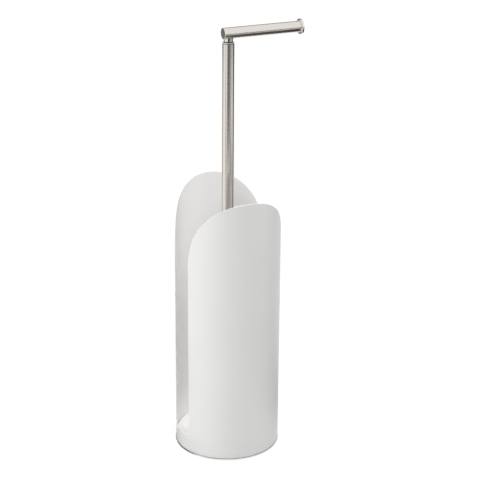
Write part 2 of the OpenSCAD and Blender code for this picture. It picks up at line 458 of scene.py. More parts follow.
@dataclass(frozen=True)
class Tool:
    """A second mesh that is cut from a piece or added to it, and is gone afterwards."""

    shapes: Sequence[Turned]
    way: Cut = Cut.REMOVE

    def use(self, made: bpy.types.Object) -> bpy.types.Object:
        """Applies each shape to the piece in turn.

        Args:
            made: The piece to change.

        Returns:
            The same piece.
        """
        for shape in self.shapes:
            other = shape.raw("tool")
            modifier = made.modifiers.new("cut", "BOOLEAN")
            modifier.operation = self.way.value
            modifier.solver = "EXACT"
            modifier.object = other
            baked(made)
            spare = other.data
            bpy.data.objects.remove(other)
            bpy.data.meshes.remove(spare)
        return made


def smoothed(
    made: bpy.types.Object, material: bpy.types.Material, sharp: float = 31.0
) -> bpy.types.Object:
    """Gives a piece its finish, and shading that keeps flats flat.

    Args:
        made: The piece.
        material: Its finish.
        sharp: Edges that turn by more degrees than this stay sharp.

    Returns:
        The same piece.
    """
    made.data.materials.clear()
    made.data.materials.append(material)
    made.data.polygons.foreach_set("material_index", [0] * len(made.data.polygons))
    made.data.shade_smooth()
    made.data.set_sharp_from_angle(angle=math.radians(sharp))
    weighted = made.modifiers.new("flats", "WEIGHTED_NORMAL")
    weighted.keep_sharp = True
    return baked(made)


def enrolled(made: bpy.types.Object, body: Body, slot: Slot, *nodes: str) -> bpy.types.Object:
    """Hands a finished piece to the frame.

    Args:
        made: The piece.
        body: The body that it moves with.
        slot: The record's material slot for its finish. Not used.
        nodes: The CAD nodes that it stands for.

    Returns:
        The same piece.
    """
    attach(made, body.value)
    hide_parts(*nodes)
    faces, stands_for = len(made.data.polygons), ", ".join(nodes)
    LOG.info("%s: %d faces for %s on %s", made.name, faces, stands_for, body.value)
    return made


def dressed_node(name: str, material: bpy.types.Material) -> None:
    """Gives a CAD node that stays in the scene its finish.

    Args:
        name: The node.
        material: Its finish.
    """
    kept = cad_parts[name]
    if not kept.material_slots:
        kept.data.materials.append(material)
    for holder in kept.material_slots:
        holder.material = material
    LOG.info("%s: CAD node kept, finish %s", name, material.name)


@dataclass(frozen=True)
class Finish:
    """What every finish has: a name, a colour and the shader it is built on."""

    name: str
    colour: Colour
    roughness: float

    def material(self) -> bpy.types.Material:
        """Builds the finish once and gives the same material afterwards.

        Returns:
            The material, shared by every piece with this finish.
        """
        known = bpy.data.materials.get(self.name)
        if known:
            return known
        made = bpy.data.materials.new(self.name)
        graph = emptied(made)
        looks = {"Base Color": (*self.colour, 1), "Roughness": self.roughness}
        shader = graph.node("ShaderNodeBsdfPrincipled", looks)
        graph.node("ShaderNodeOutputMaterial", {"Surface": shader.outputs[0]})
        made.diffuse_color = (*self.colour, 1)
        self.detail(graph, shader)
        return made

    def detail(self, graph: Graph, shader: bpy.types.Node) -> None:
        """Adds what makes the finish real. Each kind of finish has its own."""
        raise NotImplementedError

    def place(self, graph: Graph, scale: Point = (1.0, 1.0, 1.0)) -> bpy.types.NodeSocket:
        """Gives the place on the object, stretched by a scale along each axis.

        Args:
            graph: The material's tree.
            scale: The stretch along X, Y and Z.

        Returns:
            The place's socket.
        """
        source = graph.node("ShaderNodeTexCoord")
        moved = graph.node("ShaderNodeMapping", {"Vector": source.outputs["Object"], "Scale": scale})
        return moved.outputs[0]

    def noise(
        self, graph: Graph, place: bpy.types.NodeSocket, scale: float, detail: float = 2.0
    ) -> Wire:
        """Gives soft noise, around 0.5."""
        made = graph.node("ShaderNodeTexNoise", {"Vector": place, "Scale": scale, "Detail": detail})
        return Wire(graph, made.outputs["Fac"])

    def uneven(self, noise: Wire, spread: float) -> Wire:
        """Gives the roughness, spread by noise to both sides of its middle."""
        return noise * spread + (self.roughness - spread / 2)

    def tinted(self, graph: Graph, amount: Wire, low: float, high: float) -> bpy.types.NodeSocket:
        """Gives the colour, made darker or lighter by a number.

        Args:
            graph: The material's tree.
            amount: The number, from 0 to 1.
            low: The colour's factor at 0.
            high: The colour's factor at 1.

        Returns:
            The colour's socket.
        """
        dark, light = ((*(min(1.0, c * factor) for c in self.colour), 1) for factor in (low, high))
        mixed = graph.node("ShaderNodeMix", {6: dark, 7: light, 0: amount}, data_type="RGBA")
        return mixed.outputs[2]

    def bumped(
        self, graph: Graph, height: Wire, depth: float, after: Any = None
    ) -> bpy.types.NodeSocket:
        """Gives a normal that follows a height.

        Args:
            graph: The material's tree.
            height: The height, from 0 to 1.
            depth: The depth that 1 stands for, in metres.
            after: A coarser normal to add this one to.

        Returns:
            The normal's socket.
        """
        made = graph.node("ShaderNodeBump", {"Height": height, "Distance": depth, "Strength": 1.0})
        if after is not None:
            graph.feed(made.inputs["Normal"], after)
        return made.outputs[0]


@dataclass(frozen=True)
class PowderCoat(Finish):
    """Baked powder paint on sheet: a faint orange peel under a satin gloss."""

    peel_scale: float = 620.0
    peel_depth: float = 5 * MICRON
    grain_scale: float = 3600.0
    grain_depth: float = 0.8 * MICRON
    cloud_scale: float = 14.0
    clouds: Span = (0.25, 0.75)
    tint: Span = (0.985, 1.012)
    gloss_scale: float = 45.0
    gloss_spread: float = 0.08

    def detail(self, graph: Graph, shader: bpy.types.Node) -> None:
        """Adds orange peel, fine grain, and a faint unevenness of colour and gloss.

        Args:
            graph: The material's tree.
            shader: The shader that shows the finish.
        """
        place = self.place(graph)
        cloud = self.noise(graph, place, self.cloud_scale, detail=3.0)
        graph.feed(shader.inputs["Base Color"], self.tinted(graph, cloud.ramp(*self.clouds), *self.tint))
        gloss = self.noise(graph, place, self.gloss_scale)
        graph.feed(shader.inputs["Roughness"], self.uneven(gloss, self.gloss_spread))
        orange = self.noise(graph, place, self.peel_scale, detail=1.0)
        peel = self.bumped(graph, orange, self.peel_depth)
        grain = self.noise(graph, place, self.grain_scale, detail=1.0)
        graph.feed(shader.inputs["Normal"], self.bumped(graph, grain, self.grain_depth, peel))


@dataclass(frozen=True)
class BrushedTube(Finish):
    """Stainless tube with a fine satin brushed round its axis."""

    axis: Axis = Axis.Z
    line_scale: float = 5200.0
    around_scale: float = 26.0
    line_depth: float = 1.6 * MICRON
    line_weight: float = 0.6
    line_gloss: float = 0.08
    broad_factor: float = 6.0
    cloud_scale: float = 22.0
    cloud_gloss: float = 0.05
    contrast: Span = (0.2, 0.8)
    tint: Span = (0.95, 1.04)
    anisotropy: float = 0.65
    brush_turn: float = 0.25

    def detail(self, graph: Graph, shader: bpy.types.Node) -> None:
        """Adds fine and broad brush lines, and a soft unevenness of gloss.

        Args:
            graph: The material's tree.
            shader: The shader that shows the finish.
        """
        shader.inputs["Metallic"].default_value = 1.0
        shader.inputs["Anisotropic"].default_value = self.anisotropy
        shader.inputs["Anisotropic Rotation"].default_value = self.brush_turn
        ring = graph.node("ShaderNodeTangent", direction_type="RADIAL", axis=self.axis.value)
        graph.feed(shader.inputs["Tangent"], ring.outputs[0])
        stretch = [self.around_scale] * 3
        stretch["XYZ".index(self.axis.value)] = self.line_scale
        wide = tuple(scale / self.broad_factor for scale in stretch)
        lines = self.noise(graph, self.place(graph, tuple(stretch)), 1.0, detail=3.0)
        broad = self.noise(graph, self.place(graph, wide), 1.0)
        cloud = self.noise(graph, self.place(graph), self.cloud_scale)
        shade = lines.ramp(*self.contrast) * self.line_weight
        shade = shade + broad.ramp(*self.contrast) * (1.0 - self.line_weight)
        graph.feed(shader.inputs["Base Color"], self.tinted(graph, shade, *self.tint))
        gloss = self.uneven(lines, self.line_gloss) + (cloud - 0.5) * self.cloud_gloss
        graph.feed(shader.inputs["Roughness"], gloss)
        graph.feed(shader.inputs["Normal"], self.bumped(graph, lines, self.line_depth))


@dataclass(frozen=True)
class PolishedSteel(Finish):
    """Turned and polished steel, with faint turning lines and handling haze."""

    axis: Axis = Axis.Z
    ring_scale: float = 2400.0
    ring_depth: float = 0.35 * MICRON
    ring_stretch: float = 60.0
    haze_scale: float = 160.0
    haze: Span = (0.3, 0.7)
    haze_gloss: float = 0.07
    tint: Span = (0.975, 1.015)

    def detail(self, graph: Graph, shader: bpy.types.Node) -> None:
        """Adds turning lines round the axis, and a thin haze in the gloss.

        Args:
            graph: The material's tree.
            shader: The shader that shows the finish.
        """
        shader.inputs["Metallic"].default_value = 1.0
        haze = self.noise(graph, self.place(graph), self.haze_scale, detail=3.0)
        stretch = [self.ring_scale / self.ring_stretch] * 3
        stretch["XYZ".index(self.axis.value)] = self.ring_scale
        lines = self.noise(graph, self.place(graph, tuple(stretch)), 1.0)
        graph.feed(shader.inputs["Base Color"], self.tinted(graph, haze.ramp(*self.haze), *self.tint))
        graph.feed(shader.inputs["Roughness"], self.uneven(haze, self.haze_gloss))
        graph.feed(shader.inputs["Normal"], self.bumped(graph, lines, self.ring_depth))


@dataclass(frozen=True)
class Moulded(Finish):
    """Injection-moulded plastic with a spark-eroded grain."""

    grain_scale: float = 1500.0
    grain_depth: float = 6 * MICRON
    grain_gloss: float = 0.1
    flow_scale: float = 30.0
    flow: Span = (0.3, 0.7)
    tint: Span = (0.98, 1.02)
    refraction: float = 1.49

    def detail(self, graph: Graph, shader: bpy.types.Node) -> None:
        """Adds the mould's grain, and flow marks in colour and gloss.

        Args:
            graph: The material's tree.
            shader: The shader that shows the finish.
        """
        shader.inputs["IOR"].default_value = self.refraction
        place = self.place(graph)
        flow = self.noise(graph, place, self.flow_scale, detail=3.0)
        grain = self.noise(graph, place, self.grain_scale)
        graph.feed(shader.inputs["Base Color"], self.tinted(graph, flow.ramp(*self.flow), *self.tint))
        graph.feed(shader.inputs["Roughness"], self.uneven(grain, self.grain_gloss))
        graph.feed(shader.inputs["Normal"], self.bumped(graph, grain, self.grain_depth))


@dataclass(frozen=True)
class Rubber(Finish):
    """Solid rubber sheet with a fine fabric-like press mark and some dust."""

    rib_pitch: float = 0.8 * MM
    rib_depth: float = 30 * MICRON
    dust_scale: float = 90.0
    dust: Span = (0.45, 0.8)
    dust_gloss: float = 0.2
    tint: Span = (0.9, 1.6)

    def detail(self, graph: Graph, shader: bpy.types.Node) -> None:
        """Adds crossed press marks, and pale dust in patches.

        Args:
            graph: The material's tree.
            shader: The shader that shows the finish.
        """
        place = self.place(graph)
        split = graph.node("ShaderNodeSeparateXYZ", {0: place})
        turns = math.tau / self.rib_pitch
        along, across = (Wire(graph, split.outputs[i]) * turns for i in (0, 1))
        ribs = (along.sin() * across.sin()) * 0.5 + 0.5
        dust = self.noise(graph, place, self.dust_scale, detail=4.0)
        graph.feed(shader.inputs["Base Color"], self.tinted(graph, dust.ramp(*self.dust), *self.tint))
        graph.feed(shader.inputs["Roughness"], self.uneven(dust, self.dust_gloss))
        graph.feed(shader.inputs["Normal"], self.bumped(graph, ribs, self.rib_depth))


@dataclass(frozen=True)
class Casting(Finish):
    """Rough cast iron under a thin coat of dark primer."""

    sand_scale: float = 900.0
    sand_depth: float = 60 * MICRON
    thin_scale: float = 60.0
    thin: Span = (0.35, 0.75)
    thin_gloss: float = 0.2
    tint: Span = (0.8, 1.5)

    def detail(self, graph: Graph, shader: bpy.types.Node) -> None:
        """Adds the sand mould's roughness, and thin places in the primer.

        Args:
            graph: The material's tree.
            shader: The shader that shows the finish.
        """
        place = self.place(graph)
        sand = self.noise(graph, place, self.sand_scale, detail=3.0)
        thin = self.noise(graph, place, self.thin_scale, detail=4.0)
        graph.feed(shader.inputs["Base Color"], self.tinted(graph, thin.ramp(*self.thin), *self.tint))
        graph.feed(shader.inputs["Roughness"], self.uneven(thin, self.thin_gloss))
        graph.feed(shader.inputs["Normal"], self.bumped(graph, sand, self.sand_depth))


@dataclass(frozen=True)
class Plated(Finish):
    """Zinc-plated steel, slightly clouded."""

    cloud_scale: float = 420.0
    clouds: Span = (0.3, 0.7)
    cloud_gloss: float = 0.2
    tint: Span = (0.9, 1.05)
    crystal_scale: float = 4200.0
    crystal_depth: float = 1.5 * MICRON

    def detail(self, graph: Graph, shader: bpy.types.Node) -> None:
        """Adds the plating's clouds, and its fine crystals.

        Args:
            graph: The material's tree.
            shader: The shader that shows the finish.
        """
        shader.inputs["Metallic"].default_value = 1.0
        place = self.place(graph)
        cloud = self.noise(graph, place, self.cloud_scale, detail=3.0)
        crystal = self.noise(graph, place, self.crystal_scale)
        graph.feed(shader.inputs["Base Color"], self.tinted(graph, cloud.ramp(*self.clouds), *self.tint))
        graph.feed(shader.inputs["Roughness"], self.uneven(cloud, self.cloud_gloss))
        graph.feed(shader.inputs["Normal"], self.bumped(graph, crystal, self.crystal_depth))


WHITE_PAINT = PowderCoat("white_powder_coat", (0.925, 0.92, 0.91), 0.42)
WHITE_PLASTIC = Moulded("white_moulded_plastic", (0.915, 0.91, 0.90), 0.45)
# Black moulded plastic of the bush; also put on the pole plug's seam groove as painted shade.
BLACK_PLASTIC_AND_SEAM_SHADE = Moulded("black_bush_plastic_and_seam_shade", (0.018, 0.018, 0.02), 0.38)
POLE_SATIN = BrushedTube("pole_brushed_steel", (0.70, 0.66, 0.62), 0.17, Axis.Z)
ARM_SATIN = BrushedTube("arm_brushed_steel", (0.76, 0.715, 0.67), 0.22, Axis.X)
POLISHED_POLE = PolishedSteel("polished_steel_upright", (0.78, 0.765, 0.74), 0.1, Axis.Z)
POLISHED_ARM = PolishedSteel("polished_steel_arm", (0.78, 0.765, 0.74), 0.12, Axis.X)
RIM_POLISH = PolishedSteel("polished_rim_steel", (0.76, 0.755, 0.75), 0.12, Axis.Z)
SPRING_STEEL = Plated("dark_spring_steel", (0.20, 0.20, 0.21), 0.35)
ZINC = Plated("zinc_plating", (0.62, 0.62, 0.64), 0.35)
PRIMED_IRON = Casting("primed_cast_iron", (0.045, 0.045, 0.048), 0.65)
BLACK_RUBBER = Rubber("black_rubber", (0.035, 0.035, 0.037), 0.75)


@dataclass(frozen=True)
class Shell:
    """The rolled sheet with two raised sides, two finger slots and a turned-in foot."""

    outer_radius: float = 75 * MM
    wall: float = 1 * MM
    flange_radius: float = 66 * MM
    foot: float = 3 * MM
    bend: float = 1.5 * MM
    band: float = 22 * MM
    shoulder: float = 290 * MM
    crest: float = 391 * MM
    side_angle: float = math.radians(70)
    slot_foot: float = 27 * MM
    slot_corner: float = 5 * MM
    edge_soft: float = 0.32 * MM
    edge_steps: int = 3
    edge_angle: float = math.radians(50)
    sharp: float = 40.0
    screw_hole: float = 1.8 * MM
    hole_span: Span = (-2 * MM, 6 * MM)
    columns: int = 160
    crown_share: float = 0.8
    corner_share: float = 0.9
    weld: float = 0.01 * MM
    flange_rows: int = 3
    bend_rows: int = 6
    band_rows: int = 4
    level_rows: int = 3
    side_rows: int = 22

    def sheet(self, material: bpy.types.Material) -> bpy.types.Object:
        """Builds the sheet's outer face by its rule, as a geometry tree.

        One half runs 90 degrees to each side of a crest. Columns are closest where
        the crown meets the slot. Rows run in over the flange, round the bend, up the
        band, level out at the slot's foot and end on the crown.

        Args:
            material: The sheet's finish.

        Returns:
            The outer face, without thickness.
        """
        recipe = Recipe("shell_sheet_recipe")
        graph = recipe.graph
        radius = recipe.number("Outer Radius", self.outer_radius)
        flange = recipe.number("Flange Radius", self.flange_radius)
        foot = recipe.number("Foot Height", self.foot)
        bend = recipe.number("Bend Radius", self.bend)
        band = recipe.number("Band Height", self.band)
        shoulder = recipe.number("Shoulder Height", self.shoulder)
        crest = recipe.number("Crest Height", self.crest)
        side = recipe.number("Side Angle", self.side_angle)
        slot = recipe.number("Slot Foot", self.slot_foot)
        corner = recipe.number("Slot Corner", self.slot_corner)

        marks = [0, self.flange_rows, self.bend_rows, self.band_rows, self.level_rows, self.side_rows]
        marks = [sum(marks[: i + 1]) for i in range(len(marks))]
        rows = marks[-1]
        sizes = {"Size X": 2.0, "Size Y": float(rows)}
        counts = {"Vertices X": self.columns + 1, "Vertices Y": rows + 1}
        grid = graph.node("GeometryNodeMeshGrid", {**sizes, **counts})
        flat = graph.node("GeometryNodeInputPosition")
        place = graph.node("ShaderNodeSeparateXYZ", {0: flat.outputs[0]})
        across = Wire(graph, place.outputs[0])
        row = Wire(graph, place.outputs[1]) + rows / 2
        out = abs(across)
        open_part = out.over(self.crown_share) * row.over(float(marks[4]))
        doomed = {"Geometry": grid.outputs[0], "Selection": open_part}
        kept = graph.node("GeometryNodeDeleteGeometry", doomed, domain="FACE")

        quarter = math.pi / 2
        lobe = out.ramp(0.0, self.crown_share) * quarter
        fillet = out.ramp(self.crown_share, self.corner_share) * quarter
        half = radius * side.cos()
        inset = corner * (1.0 - fillet.cos())
        straight = ((half - corner) / radius).acos()
        angle = side * lobe.sin() + (((half - inset) / radius).acos() - side)
        angle = angle + out.ramp(self.corner_share, 1.0) * (quarter - straight)
        crown = shoulder + (crest - shoulder) * lobe.cos()
        level = slot + corner * (1.0 - fillet.sin())
        turn = row.ramp(marks[1], marks[2]) * quarter
        reach = flange + (radius - bend - flange) * row.ramp(marks[0], marks[1]) + bend * turn.sin()
        height = (
            foot
            + bend * (1.0 - turn.cos())
            + (band - foot - bend) * row.ramp(marks[2], marks[3])
            + (level - band) * row.ramp(marks[3], marks[4])
            + (crown - level) * row.ramp(marks[4], marks[5])
        )
        sideways = reach * (across.sign() * angle).sin()
        spot = graph.node("ShaderNodeCombineXYZ", {0: sideways, 1: reach * angle.cos(), 2: height})
        moves = {"Geometry": kept.outputs[0], "Position": spot.outputs[0]}
        rolled = graph.node("GeometryNodeSetPosition", moves)
        outward = graph.node("GeometryNodeFlipFaces", {"Mesh": rolled.outputs[0]})
        half_turn = {"Geometry": outward.outputs[0], "Rotation": (0.0, 0.0, math.pi)}
        other = graph.node("GeometryNodeTransform", half_turn)
        both = graph.node("GeometryNodeJoinGeometry")
        for part in (outward, other):
            graph.tree.links.new(part.outputs[0], both.inputs[0])
        seams = {"Geometry": both.outputs[0], "Distance": self.weld}
        welded = graph.node("GeometryNodeMergeByDistance", seams)
        return recipe.serve("shell_sheet", welded.outputs[0], material)

    def build(self) -> None:
        """Builds, thickens and dresses the shell."""
        paint = WHITE_PAINT.material()
        made = self.sheet(paint)
        thick = made.modifiers.new("thickness", "SOLIDIFY")
        thick.thickness = self.wall
        thick.offset = -1.0
        thick.use_even_offset = True
        thick.use_quality_normals = True
        soft = made.modifiers.new("edges", "BEVEL")
        soft.width = self.edge_soft
        soft.segments = self.edge_steps
        soft.limit_method = "ANGLE"
        soft.angle_limit = self.edge_angle
        baked(made)
        made.data.polygons.foreach_set("use_smooth", [True] * len(made.data.polygons))
        hole = rod(self.screw_hole, *self.hole_span)
        Tool([Turned(hole, centre=place, steps=HOLE_STEPS) for place in screw_places()]).use(made)
        enrolled(smoothed(made, paint, self.sharp), Body.STAND, Slot.SHELL_PAINT, "shell")


def screw_places() -> list[Point]:
    """Gives the places of the screws round the pole at height zero, half a step off +X."""
    angles = [(index + 0.5) * math.tau / SCREW_COUNT for index in range(SCREW_COUNT)]
    return [(SCREW_CIRCLE * math.cos(angle), SCREW_CIRCLE * math.sin(angle), 0.0) for angle in angles]


@dataclass(frozen=True)
class Base:
    """What stands under the shell: pad, plate, ballast, screws and the storage floor."""

    pad_radius: float = 65.3 * MM
    pad_thickness: float = 1 * MM
    plate_radius: float = 75.7 * MM
    plate_top: float = 3 * MM
    plate_bore: float = 8 * MM
    rim_soft: float = 0.5 * MM
    sink_radius: float = 3.3 * MM
    sink_slack: float = 0.3 * MM
    cut_margin: float = 1 * MM
    plate_steps: int = 256
    screw_radius: float = 1.5 * MM
    screw_length: float = 9 * MM
    recess_depth: float = 0.8 * MM
    recess_width: float = 0.6 * MM
    head_trim: float = 0.1 * MM
    floor_radius: float = 73.7 * MM
    floor_top: float = 15 * MM
    floor_under: float = 13.2 * MM
    floor_foot: float = 4 * MM
    floor_soft: float = 1 * MM
    floor_relief: float = 0.5 * MM
    skirt: float = 2 * MM
    skirt_soft: float = 0.4 * MM
    boss_radius: float = 3.3 * MM
    boss_relief: float = 0.2 * MM
    boss_overlap: float = 0.9 * MM
    boss_bore: float = 1.55 * MM
    boss_bore_top: float = 10.5 * MM
    hub_bore: float = 10.1 * MM
    collar_bore: float = 8.55 * MM
    collar_radius: float = 12.05 * MM
    collar_sleeve: float = 10.05 * MM
    collar_top: float = 16.2 * MM
    collar_soft: float = 1.1 * MM

    def pad(self) -> None:
        """Builds the rubber sheet that the holder stands on."""
        corners = [
            Corner(0, 0),
            Corner(self.pad_radius, 0, SOFT_EDGE),
            Corner(self.pad_radius, self.pad_thickness, SOFT_EDGE),
            Corner(0, self.pad_thickness),
        ]
        made = Turned(corners, steps=FINE_STEPS).raw("rubber_foot")
        enrolled(smoothed(made, BLACK_RUBBER.material()), Body.STAND, Slot.PAD, "foot_pad")

    def plate(self) -> None:
        """Builds the round plate with its polished rim and countersunk holes."""
        low, top = self.pad_thickness, self.plate_top
        corners = [
            Corner(self.plate_bore, low, ROUND_EDGE),
            Corner(self.plate_radius, low, self.rim_soft),
            Corner(self.plate_radius, top, self.rim_soft),
            Corner(self.plate_bore, top, ROUND_EDGE),
        ]
        made = Turned(corners, steps=self.plate_steps, soft_steps=8).raw("rim_plate")
        hole = self.screw_radius + self.sink_slack
        sink = [
            Corner(0, low - self.cut_margin),
            Corner(self.sink_radius, low - self.cut_margin),
            Corner(self.sink_radius, low),
            Corner(hole, low + self.sink_radius - hole),
            Corner(hole, top + self.cut_margin),
            Corner(0, top + self.cut_margin),
        ]
        sinks = [Turned(sink, centre=place, steps=SCREW_STEPS) for place in screw_places()]
        Tool(sinks).use(made)
        enrolled(smoothed(made, RIM_POLISH.material()), Body.STAND, Slot.RIM_STEEL, "base_plate")

    def floor(self) -> None:
        """Builds the moulded floor with its skirt and screw bosses."""
        corners = [
            Corner(self.hub_bore, self.floor_under),
            Corner(self.floor_radius - self.skirt, self.floor_under, self.skirt_soft),
            Corner(self.floor_radius - self.skirt, self.floor_foot, SOFT_EDGE),
            Corner(self.floor_radius - self.floor_relief, self.floor_foot),
            Corner(self.floor_radius, self.floor_foot + self.floor_relief),
            Corner(self.floor_radius, self.floor_top, self.floor_soft),
            Corner(self.hub_bore, self.floor_top, SOFT_EDGE),
        ]
        made = Turned(corners, steps=FINE_STEPS, soft_steps=6).raw("storage_floor")
        boss_low, boss_top = self.floor_foot + self.boss_relief, self.floor_under + self.boss_overlap
        boss = rod(self.boss_radius, boss_low, boss_top)
        bore = rod(self.boss_bore, 0.0, self.boss_bore_top)
        bosses = [Turned(boss, centre=place, steps=SCREW_STEPS) for place in screw_places()]
        bores = [Turned(bore, centre=place, steps=HOLE_STEPS) for place in screw_places()]
        Tool(bosses, Cut.ADD).use(made)
        Tool(bores).use(made)
        smoothed(made, WHITE_PLASTIC.material())
        enrolled(made, Body.STAND, Slot.FLOOR_PLASTIC, "floor_cover")

    def collar(self) -> None:
        """Builds the small collar that closes the gap round the pole."""
        corners = [
            Corner(self.collar_bore, self.floor_under),
            Corner(self.collar_sleeve, self.floor_under),
            Corner(self.collar_sleeve, self.floor_top),
            Corner(self.collar_radius, self.floor_top),
            Corner(self.collar_radius, self.collar_top, self.collar_soft),
            Corner(self.collar_bore, self.collar_top, ROUND_EDGE),
        ]
        made = Turned(corners, soft_steps=8).raw("pole_ferrule")
        smoothed(made, WHITE_PLASTIC.material())
        enrolled(made, Body.STAND, Slot.FLOOR_PLASTIC, "pole_collar")

    def screws(self) -> None:
        """Builds the countersunk screws as instances of one screw."""
        recipe = Recipe("base_screws_recipe")
        graph = recipe.graph
        count = recipe.count("Screws", SCREW_COUNT)
        circle = recipe.number("Circle Radius", SCREW_CIRCLE)
        shank = recipe.number("Shank Radius", self.screw_radius)
        length = recipe.number("Length", self.screw_length)
        deep = recipe.number("Recess Depth", self.recess_depth)
        wide = recipe.number("Recess Width", self.recess_width)
        trim = self.head_trim
        broad = shank * 2.0 - trim
        sides = {"Vertices": SCREW_STEPS}
        stem = graph.node("GeometryNodeMeshCylinder", {**sides, "Radius": shank, "Depth": length})
        head = graph.node(
            "GeometryNodeMeshCone",
            {**sides, "Radius Bottom": broad, "Radius Top": shank, "Depth": shank - trim},
        )
        land = graph.node("GeometryNodeMeshCylinder", {**sides, "Radius": broad, "Depth": trim * 2.0})
        solid = graph.node("GeometryNodeMeshBoolean", operation="UNION", solver="EXACT")
        for part, height in ((stem, length * 0.5), (head, trim), (land, trim)):
            graph.tree.links.new(self._moved(graph, part.outputs[0], height), solid.inputs[1])
        cross = graph.node("GeometryNodeMeshBoolean", operation="DIFFERENCE", solver="EXACT")
        graph.tree.links.new(solid.outputs[0], cross.inputs[0])
        for size in ((shank * 2.0, wide), (wide, shank * 2.0)):
            box = graph.node("ShaderNodeCombineXYZ", {0: size[0], 1: size[1], 2: deep * 2.0})
            bar = graph.node("GeometryNodeMeshCube", {"Size": box.outputs[0]})
            graph.tree.links.new(bar.outputs[0], cross.inputs[1])
        ring = graph.node("GeometryNodeMeshCircle", {"Vertices": count, "Radius": circle})
        turned = graph.node(
            "GeometryNodeTransform",
            {
                "Geometry": ring.outputs[0],
                "Translation": (0.0, 0.0, self.pad_thickness),
                "Rotation": (0.0, 0.0, math.pi / SCREW_COUNT),
            },
        )
        placed = graph.node(
            "GeometryNodeInstanceOnPoints", {"Points": turned.outputs[0], "Instance": cross.outputs[0]}
        )
        made = recipe.serve("countersunk_screws", placed.outputs[0], ZINC.material())
        enrolled(smoothed(made, ZINC.material()), Body.STAND, Slot.FASTENER, "shell_screws")

    def _moved(self, graph: Graph, geometry: bpy.types.NodeSocket, height: Any) -> bpy.types.NodeSocket:
        """Raises geometry.

        Args:
            graph: The recipe's tree.
            geometry: What to raise.
            height: How far, in metres.

        Returns:
            The raised geometry's socket.
        """
        lift = graph.node("ShaderNodeCombineXYZ", {2: height})
        moves = {"Geometry": geometry, "Translation": lift.outputs[0]}
        return graph.node("GeometryNodeTransform", moves).outputs[0]

    def build(self) -> None:
        """Builds the base's pieces, and dresses the ballast that they hide."""
        self.pad()
        self.plate()
        self.screws()
        self.floor()
        self.collar()
        dressed_node("ballast_disc", PRIMED_IRON.material())


def rod(radius: float, low: float, high: float, soft: float = 0.0) -> list[Corner]:
    """Gives the outline of a plain rod.

    Args:
        radius: The rod's radius.
        low: Where it starts on its axis.
        high: Where it ends.
        soft: The radius on its two edges.

    Returns:
        The outline's corners.
    """
    return [Corner(0, low), Corner(radius, low, soft), Corner(radius, high, soft), Corner(0, high)]


@dataclass(frozen=True)
class Pole:
    """The brushed pole, the polished plug in its top, and the bolt that holds its foot."""

    radius: float = 8.5 * MM
    bore: float = 7.3 * MM
    foot: float = 13.2 * MM
    end: float = 597 * MM
    top: float = 599 * MM
    plug_radius: float = 7.25 * MM
    plug_bore: float = 6.05 * MM
    plug_foot: float = 563 * MM
    seam: float = 0.8 * MM
    seam_depth: float = 0.7 * MM
    top_soft: float = 0.4 * MM

    def tube(self) -> None:
        """Builds the brushed tube."""
        corners = [
            Corner(self.bore, self.foot),
            Corner(self.radius, self.foot, FINE_EDGE),
            Corner(self.radius, self.end, SOFT_EDGE),
            Corner(self.bore, self.end),
        ]
        made = Turned(corners, steps=FINE_STEPS).raw("brushed_pole")
        enrolled(smoothed(made, POLE_SATIN.material()), Body.STAND, Slot.BRUSHED_TUBE, "pole_tube")

    def plug(self) -> None:
        """Builds the plug, with the fine seam groove between it and the tube; the groove's faces are
        painted black as shade.
        """
        corners = [
            Corner(self.plug_bore, self.plug_foot, SOFT_EDGE),
            Corner(self.plug_radius, self.plug_foot, LEAD_EDGE),
            Corner(self.plug_radius, self.end),
            Corner(self.radius - self.seam_depth, self.end),
            Corner(self.radius - self.seam_depth, self.end + self.seam),
            Corner(self.radius, self.end + self.seam, CRISP_EDGE),
            Corner(self.radius, self.top, self.top_soft),
            Corner(self.plug_bore, self.top, SOFT_EDGE),
        ]
        made = Turned(corners, steps=FINE_STEPS).raw("polished_pole_plug")
        smoothed(made, POLISHED_POLE.material())
        # Painted shade: the seam groove's faces take the black finish so that the seam shows as a dark
        # shadow line.
        made.data.materials.append(BLACK_PLASTIC_AND_SEAM_SHADE.material())
        for face in made.data.polygons:
            if self.end < face.center.z < self.end + self.seam:
                face.material_index = 1
        enrolled(made, Body.STAND, Slot.POLISHED_STEEL, "pole_top_plug")

    def build(self) -> None:
        """Builds the pole's pieces, and dresses the fasteners inside its foot."""
        self.tube()
        self.plug()
        for name in ("pole_bolt", "spring_washer", "flat_washer"):
            dressed_node(name, ZINC.material())
        dressed_node("pole_foot_plug", POLISHED_POLE.material())


